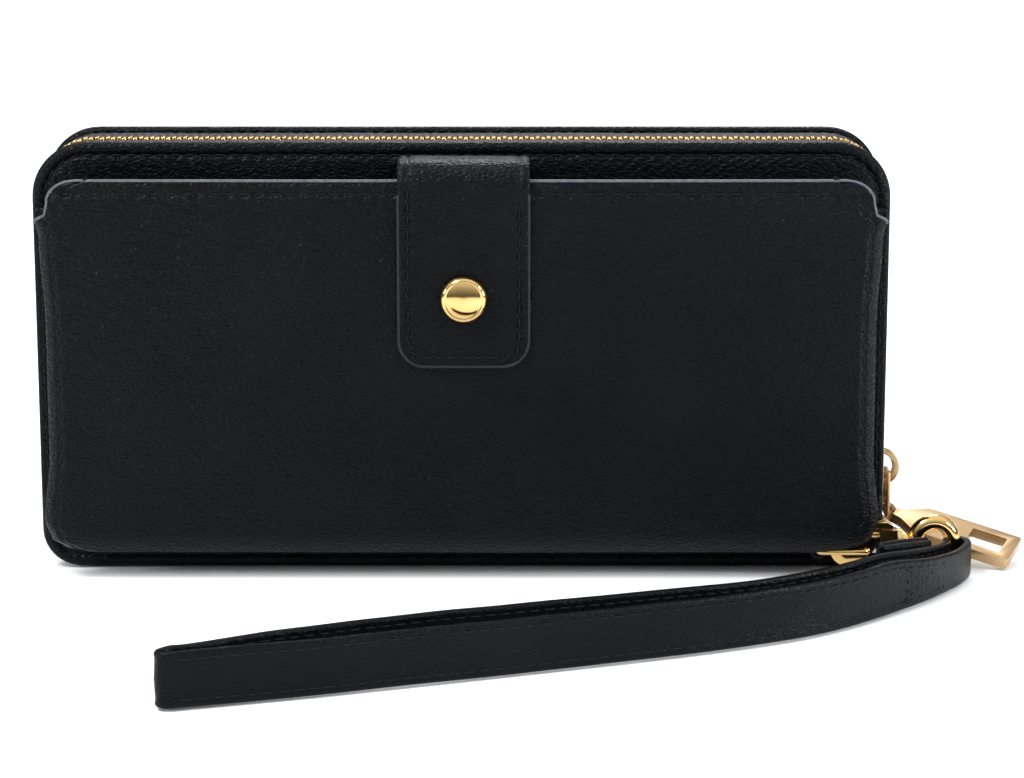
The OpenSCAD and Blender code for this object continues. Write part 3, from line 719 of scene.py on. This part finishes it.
def build_tape(name, node, side, body):
    """A zip tape, ribbed and a little domed, from the cover's edge to the teeth."""
    low, high = millimetres(node)
    outer = max(abs(low[1]), abs(high[1]))
    inner = min(abs(low[1]), abs(high[1]))
    run = zip_line(0.0, 420)
    columns = 15
    points = []
    for i, (p, normal) in enumerate(run):
        parted = 1.6 * (1 - swell(p.y, 19.0, 22.5)) if p.x > 90 else 0.0
        for j in range(columns):
            v = j / (columns - 1)
            y = outer + (inner + parted - outer) * v
            rib = 0.05 * math.sin(i * TAU / 3.0)
            dome = 0.45 * math.sin(math.pi * min(v * 1.1, 1.0)) + 0.35 * swell(v, 0.75, 1.0)
            puff = 0.25 * noise.noise(Vector((i / 16.0, v * 2, side * 3.0)))
            q = p + normal * (dome + rib + puff * math.sin(math.pi * v))
            points.append((q.x, side * y, q.y))
    tape = piece(name, points, sheet_faces(len(run), columns), TAPE, body)
    thicken(tape, 0.55, 0.0)
    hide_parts(node)
    sewn = [(q.x, side * (outer - 1.3), q.y) for q, _ in zip_line(0.55, 300)]

    def away(p):
        return Vector((p.x, 0, 0 if abs(p.x) > 96 else p.z))

    stitches(name + "_stitches", [sewn], body, away, 2.2, 3.2, 0.2)


def build_coin_zip():
    softened("coin_zip_tape", 0.12, TAPE, "front_half")
    softened("coin_zip_teeth", 0.14, TOOTH_GOLD, "front_half", segments=1)


# ---------- interior ----------

def build_panel(name, node, material, body, seed=1.0):
    """A flat upright panel rebuilt as a soft one: rolled edges and slow waves within its own thickness."""
    low, high = millimetres(node)
    middle, half = (low[1] + high[1]) / 2, (high[1] - low[1]) / 2
    outline = []
    r = 2.0
    x0, x1, z0, z1 = low[0], high[0], low[2], high[2]
    outline += arc(x1 - r, z0 + r, r, -90, 0, 4) + arc(x1 - r, z1 - r, r, 0, 90, 4)
    outline += arc(x0 + r, z1 - r, r, 90, 180, 4) + arc(x0 + r, z0 + r, r, 180, 270, 4)
    outline += [(x0 + r + (x1 - x0 - 2 * r) * i / 24, z0) for i in range(1, 24)]
    count = 240
    centre = Vector(((x0 + x1) / 2, (z0 + z1) / 2))
    line = even(outline, count, True)
    rings = [(0.72, 1.0), (0.9, 1.0), (0.975, 1.0), (0.985, 0.97), (0.993, 0.8), (0.998, 0.5), (1.0, 0.0)]
    rings = rings + [(s, -h) for s, h in reversed(rings[:-1])]
    points = []
    for share, height in rings:
        for p in line:
            qx = centre.x + (p.x - centre.x) * (1 - (1 - share) * 0.9)
            qz = centre.y + (p.y - centre.y) * share
            wave = 0.12 * half * waves(qx, qz, seed, 24)
            points.append((qx, middle + half * 0.86 * height + wave, qz))
    faces = sheet_faces(len(rings), count, False, True)
    faces.append(tuple(range(count)))
    faces.append(tuple((len(rings) - 1) * count + i for i in range(count)))
    made = piece(name, points, faces, material, body)
    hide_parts(node)
    way = -1 if middle > 0 else 1
    if node.startswith("coin"):
        way = -1 if middle < 0 else 1
    y = middle + way * half * 0.84
    row = [(x, y, z1 - 2.0) for x in range(int(x0) + 3, int(x1) - 2, 2)]
    stitches(name + "_stitches", [row], body, (0, way, 0), 2.2, 3.2, 0.16)


def build_inside():
    for half, body in (("front", "front_half"), ("back", "back_half")):
        for k in range(1, 5):
            build_panel(f"{half}_card_slot_{k}", f"card_slot_{half}_{k}", LEATHER, body, seed=k * 2.2)
        softened(f"{half}_stiffener", 0.3, BOARD, body)
        softened(f"{half}_lining", 0.15, LINING, body)
    build_panel("coin_pocket_front_panel", "coin_panel_front", LINING, "front_half", seed=12.0)
    build_panel("coin_pocket_back_panel", "coin_panel_back", LINING, "front_half", seed=15.0)
    softened("coin_gusset", 0.3, LINING, "front_half")
    softened("spine_lining", 0.2, LINING, "front_half")
    softened("pocket_lining", 0.12, LINING, "front_half")
    softened("pocket_base", 0.3, LEATHER, "front_half")
    softened("d_ring_tab", 0.35, LEATHER, "front_half")


# ---------- metal ----------

def build_metal():
    softened("zip_teeth_front", 0.22, TOOTH_GOLD, "front_half", segments=2)
    softened("zip_teeth_back", 0.22, TOOTH_GOLD, "back_half", segments=2)
    softened("zip_end_stops", 0.3, TOOTH_GOLD, "front_half", segments=2)
    softened("zip_slider", 0.3, SATIN, "slider", segments=3)
    softened("pull_link", 0.0001, SATIN, "link")
    softened("zip_pull", 0.32, SATIN, "pull", segments=3)
    softened("snap_socket", 0.1, STEEL, "snap_flap")
    softened("snap_stud", 0.1, POLISHED, "front_half")
    softened("snap_post", 0.1, STEEL, "front_half")
    softened("hook_body", 0.35, POLISHED, "hook", segments=3)
    softened("hook_post", 0.25, POLISHED, "hook", segments=3)
    softened("hook_gate", 0.25, POLISHED, "gate", segments=3)
    softened("coin_slider", 0.2, SATIN, "coin_slide")
    softened("coin_pull", 0.2, SATIN, "coin_tag")


# ---------- wrist strap ----------

ROUTE = [
    (-59.4, -122.6), (-54, -121), (-30, -113.5), (10, -99.5), (54, -83), (80, -69.5), (101, -50), (113.5, -34),
    (118.4, -24.5), (119.2, -19.5), (116.9, -17.2), (114.6, -19.5), (112.8, -26), (99, -44.5), (77, -63),
    (54, -74), (10, -88.5), (-30, -104), (-54, -116.6), (-58.6, -118.2), (-61, -120.9),
]


def curved(points, steps):
    """A closed smooth line through points."""
    out, n = [], len(points)
    points = [Vector(p) for p in points]
    for i in range(n):
        a, b, c, d = (points[(i + k - 1) % n] for k in range(4))
        for s in range(steps):
            t = s / steps
            bend, twist = 2 * a - 5 * b + 4 * c - d, 3 * b - a - 3 * c + d
            out.append(0.5 * (2 * b + (c - a) * t + bend * t * t + twist * t ** 3))
    return out


def strap_height(x, full):
    """How far up the strap reaches: it narrows where it passes through the ring."""
    if x <= 96:
        return full
    if x <= 119:
        return full + (8.4 - full) * swell(x, 94, 119)
    return 8.4 + (7.6 - 8.4) * swell(x, 119, 130)


def build_band(name, node, line, closed, half_t, height_at, low_at, material, body):
    """A flat band standing on edge along a line, with rolled edges and a sewing groove near each."""
    section = []
    for k in range(28):
        a = TAU * k / 28
        c, s = math.cos(a), math.sin(a)
        section.append((math.copysign(abs(c) ** 0.6, c), math.copysign(abs(s) ** 0.2, s)))
    count = len(line)
    points, frames = [], []
    for i, p in enumerate(line):
        after = line[(i + 1) % count] if closed or i < count - 1 else p
        before = line[i - 1] if closed or i else p
        along = (after - before).normalized()
        side = Vector((along.y, -along.x))
        low, tall = low_at(p), height_at(p)
        frames.append((p, side, low, tall))
        thick = half_t * (1.0 + 0.07 * waves(p.x, p.y, 9.0, 12))
        for across, up in section:
            z = low + (tall - low) * (0.5 + 0.5 * up)
            edge = 0.5 * (tall - low) * (1 - abs(up))
            groove = 0.24 * half_t * math.exp(-((edge - SEAM_INSET) / 0.55) ** 2)
            q = p + side * (across * (thick - groove))
            points.append((q.x, q.y, z))
    sides = len(section)
    faces = sheet_faces(count, sides, closed, True)
    if not closed:
        faces += [tuple(range(sides)), tuple((count - 1) * sides + k for k in range(sides))]
    made = piece(name, points, faces, material, body)
    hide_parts(node)
    return frames


def band_rows(frames, ways, half_t, far_x):
    """Sewing rows on the chosen faces of a band, left out past far_x where it bends through the ring."""
    bend = [i for i, f in enumerate(frames) if f[0].x > far_x]
    runs = [frames[: bend[0]], frames[bend[-1] + 1 :]]
    rows = []
    for way, top, run in [(w, t, r) for w in ways for t in (False, True) for r in runs]:
        row = []
        for p, side, low, tall in run:
            q = p + side * way * (half_t - 0.2)
            z = tall - SEAM_INSET if top else low + SEAM_INSET
            row.append((Vector((q.x, q.y, z)), side * way))
        rows.append(row)
    return rows


def sew_band(name, rows, body, length=2.6, step=3.4):
    paths = [[p for p, _ in row] for row in rows]
    near = {}
    for row in rows:
        for p, side in row:
            near.setdefault((round(p.x / 2), round(p.y / 2)), []).append((p, side))

    def away(p):
        found = []
        for dx in (-1, 0, 1):
            for dy in (-1, 0, 1):
                found += near.get((round(p.x / 2) + dx, round(p.y / 2) + dy), [])
        _, side = min(found, key=lambda pair: (pair[0] - p).length)
        return Vector((side.x, side.y, 0))

    stitches(name, paths, body, away, length, step, 0.24)


def build_strap():
    line = even(curved(ROUTE, 10), 760, True)
    full = STRAP_HIGH[2] - 0.1
    low_at = lambda p: 0.1 + 0.12 * (1 + waves(p.x, p.y, 21.0, 25))
    high_at = lambda p: strap_height(p.x, full) + 0.15 * waves(p.x, p.y, 33.0, 18)
    frames = build_band("wrist_strap_band", "wrist_strap", line, True, STRAP_HALF_T, high_at, low_at,
                        STRAP_LEATHER, "strap")
    sewn = [f for f in frames if f[0].x > -56]
    sew_band("wrist_strap_stitches", band_rows(sewn, (1, -1), STRAP_HALF_T, 113.5), "strap")
    outer = [f for f in frames if 101 <= f[0].x <= 109.5 and f[1].x > 0]
    crossing = []
    for rise in (True, False):
        row = []
        for k, (p, side, low, tall) in enumerate(outer):
            t = k / max(len(outer) - 1, 1)
            t = t if rise else 1 - t
            q = p + side * 0.85
            row.append((Vector((q.x, q.y, low + 2.2 + (tall - low - 4.4) * t)), side))
        crossing.append(row)
    for p, side, low, tall in (outer[0], outer[-1]):
        q = p + side * 0.85
        crossing.append([(Vector((q.x, q.y, low + 2.0 + (tall - low - 4.0) * k / 8)), side) for k in range(9)])
    sew_band("wrist_strap_cross_stitches", crossing, "strap", 1.7, 2.2)
    fold = [(109.2, -25.5), (107.6, -26.9), (105.2, -29.6), (101.6, -33.9), (98.2, -37.9), (96.6, -39.9)]
    fold += [(96.1, -41.0), (96.9, -41.6), (98.4, -40.7), (101.6, -37.2), (105.6, -32.3), (109.3, -27.6)]
    smooth = curved(fold, 8)[: 8 * (len(fold) - 1) + 1]
    build_band("strap_folded_end", "strap_end", even(smooth, 130, False), False, STRAP_END_HALF_T,
               lambda p: strap_height(p.x, full) + 0.5, low_at, STRAP_LEATHER, "strap")


def ring_mesh(name, node, centre, radius, wire, body, material):
    """A round ring of round wire standing across Y."""
    rings, sides, points = 64, 16, []
    for i in range(rings):
        a = TAU * i / rings
        for k in range(sides):
            b = TAU * k / sides
            r = radius + wire * math.cos(b)
            x, z = centre[0] + r * math.cos(a), centre[2] + r * math.sin(a)
            points.append((x, centre[1] + wire * math.sin(b), z))
    made = piece(name, points, sheet_faces(rings, sides, True, True), material, body)
    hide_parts(node)


def wire_loop(name, node, corners, radius, wire, material, body):
    """A closed loop of round wire with rounded corners."""
    points = [Vector(c) for c in corners]
    path, n = [], len(points)
    for i, p in enumerate(points):
        a, b = points[i - 1], points[(i + 1) % n]
        u, v = (a - p).normalized(), (b - p).normalized()
        centre = p + (u + v) * radius
        for s in range(9):
            t = math.radians(90 * s / 8)
            path.append(centre - v * radius * math.cos(t) - u * radius * math.sin(t))
    made = tube(name, path, wire, material, body, 14, True)
    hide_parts(node)


def build_loops():
    low, high = millimetres("swivel_ring")
    wire = (high[1] - low[1]) / 2
    centre = [(a + b) / 2 for a, b in zip(low, high)]
    radius = (high[0] - low[0]) / 2 - wire
    ring_mesh("swivel_ring_wire", "swivel_ring", centre, radius, wire, "ring", POLISHED)
    low, high = millimetres("d_ring")
    wire = (high[2] - low[2]) / 2
    z = (low[2] + high[2]) / 2
    xs, ys = (low[0] + wire, high[0] - wire), (low[1] + wire, high[1] - wire)
    corners = [(xs[0], ys[0], z), (xs[1], ys[0], z), (xs[1], ys[1], z), (xs[0], ys[1], z)]
    wire_loop("d_ring_wire", "d_ring", corners, 0.9, wire, POLISHED, "d_loop")


def build_snap_cap():
    """The snap's cap, turned: a low dome inside a rounded rim, on its rivet."""
    profile = [
        (0.0, 5.42), (1.2, 5.36), (2.4, 5.18), (3.3, 4.94), (3.85, 4.72), (4.05, 4.6), (4.15, 4.58), (4.3, 4.68),
        (4.5, 4.72), (4.75, 4.62), (5.05, 4.34), (5.3, 3.9), (5.44, 3.5), (5.5, 3.1), (5.5, 2.36), (5.3, 2.33),
        (0.95, 2.33), (0.95, 1.46), (0.0, 1.45),
    ]
    low, high = millimetres("snap_cap")
    x, z = (low[0] + high[0]) / 2, (low[2] + high[2]) / 2
    turns = 72
    points = []
    for r, depth in profile:
        for k in range(turns):
            a = TAU * k / turns
            points.append((x + max(r, 0.01) * math.cos(a), POCKET_Y - depth, z + max(r, 0.01) * math.sin(a)))
    faces = sheet_faces(len(profile), turns, False, True)
    faces += [tuple(range(turns)), tuple((len(profile) - 1) * turns + k for k in range(turns))]
    cap = piece("snap_cap_turned", points, faces, POLISHED, "snap_flap")
    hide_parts("snap_cap")


def build_gate_spring():
    """The coil spring that pushes the gate shut."""
    low, high = millimetres("gate_spring")
    wire = 0.16
    radius = (high[1] - low[1]) / 2 - wire
    y, z = (low[1] + high[1]) / 2, (low[2] + high[2]) / 2
    turns, steps = 5, 16
    path = []
    for i in range(turns * steps + 1):
        a = TAU * i / steps
        x = low[0] + wire + (high[0] - low[0] - 2 * wire) * i / (turns * steps)
        path.append((x, y + radius * math.cos(a), z + radius * math.sin(a)))
    coil = tube("gate_spring_coil", path, wire, STEEL, "hook", 8)
    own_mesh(coil)
    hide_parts("gate_spring")


# ---------- the stage ----------

def point_light_at(name, where, target, size, power):
    """A soft square lamp."""
    data = bpy.data.lights.new(name, "AREA")
    data.size = size
    data.energy = power
    lamp = bpy.data.objects.new(name, data)
    bpy.context.scene.collection.objects.link(lamp)
    lamp.location = where
    lamp.rotation_euler = (Vector(target) - Vector(where)).to_track_quat("-Z", "Y").to_euler()
    return lamp


def build_stage():
    paper, shader = new_material("white_paper", (0.93, 0.935, 0.94), 0.9)
    fibre = place_texture(paper, "ShaderNodeTexNoise", 300, (1, 1, 1), Detail=3.0)
    white = ramp(paper, fibre.outputs["Fac"], 0.2, 0.8, (0.92, 0.925, 0.93), (0.94, 0.945, 0.95))
    link(paper, white, shader.inputs["Base Color"])
    corners = [(-2500, -2000, 0), (2500, -2000, 0), (2500, 4000, 0), (-2500, 4000, 0)]
    floor = piece("paper_floor", corners, [(0, 1, 2, 3)], paper)
    floor.location.z = -0.0004
    world = bpy.data.worlds.new("studio")
    world.use_nodes = True
    tree = world.node_tree
    where = tree.nodes.new("ShaderNodeTexCoord")
    parts = tree.nodes.new("ShaderNodeSeparateXYZ")
    glow = tree.nodes.new("ShaderNodeMapRange")
    glow.inputs["From Min"].default_value = 0.05
    glow.inputs["From Max"].default_value = 0.85
    glow.inputs["To Min"].default_value = 0.16
    glow.inputs["To Max"].default_value = 1.25
    tree.links.new(where.outputs["Generated"], parts.inputs["Vector"])
    tree.links.new(parts.outputs["Z"], glow.inputs["Value"])
    tree.links.new(glow.outputs["Result"], tree.nodes["Background"].inputs["Strength"])
    tree.nodes["Background"].inputs["Color"].default_value = (0.95, 0.97, 1.0, 1)
    bpy.context.scene.world = world
    point_light_at("key", (-0.55, -0.55, 1.1), (0, 0, 0.04), 0.35, 12)
    point_light_at("side", (1.1, -0.7, 0.7), (0.05, -0.05, 0.04), 0.22, 6)
    point_light_at("right_strip", (0.75, -0.28, 0.22), (0.08, -0.03, 0.05), 0.16, 2.6)
    point_light_at("left_strip", (-0.8, -0.35, 0.3), (-0.08, -0.03, 0.05), 0.16, 2)
    point_light_at("back", (0.1, 0.9, 0.9), (0, 0, 0.08), 0.6, 6)


CAMERA_PLACE = (0.0118, -0.757, 0.2095)
CAMERA_DOWN = 12.6           # degrees below level
CAMERA_LENS = 113.5          # on a sensor 36 wide


def build_camera():
    data = bpy.data.cameras.new("product")
    data.sensor_width = 36
    data.lens = CAMERA_LENS
    data.clip_end = 20
    camera = bpy.data.objects.new("product", data)
    bpy.context.scene.collection.objects.link(camera)
    camera.location = CAMERA_PLACE
    camera.rotation_euler = (math.radians(90 - CAMERA_DOWN), 0, 0)
    bpy.context.scene.camera = camera


build_pocket_panel()
build_gussets()
build_cover("front_cover_leather", "front_cover", FRONT_Y, -1, "front_half")
build_cover("back_cover_leather", "back_cover", BACK_Y, 1, "back_half")
build_spine()
build_tab()
build_tape("front_zip_tape", "zip_tape_front", -1, "front_half")
build_tape("back_zip_tape", "zip_tape_back", 1, "back_half")
build_coin_zip()
build_inside()
build_metal()
build_strap()
build_loops()
build_gate_spring()
build_snap_cap()
build_stage()
build_camera()
bpy.context.scene.view_settings.view_transform = "Standard"
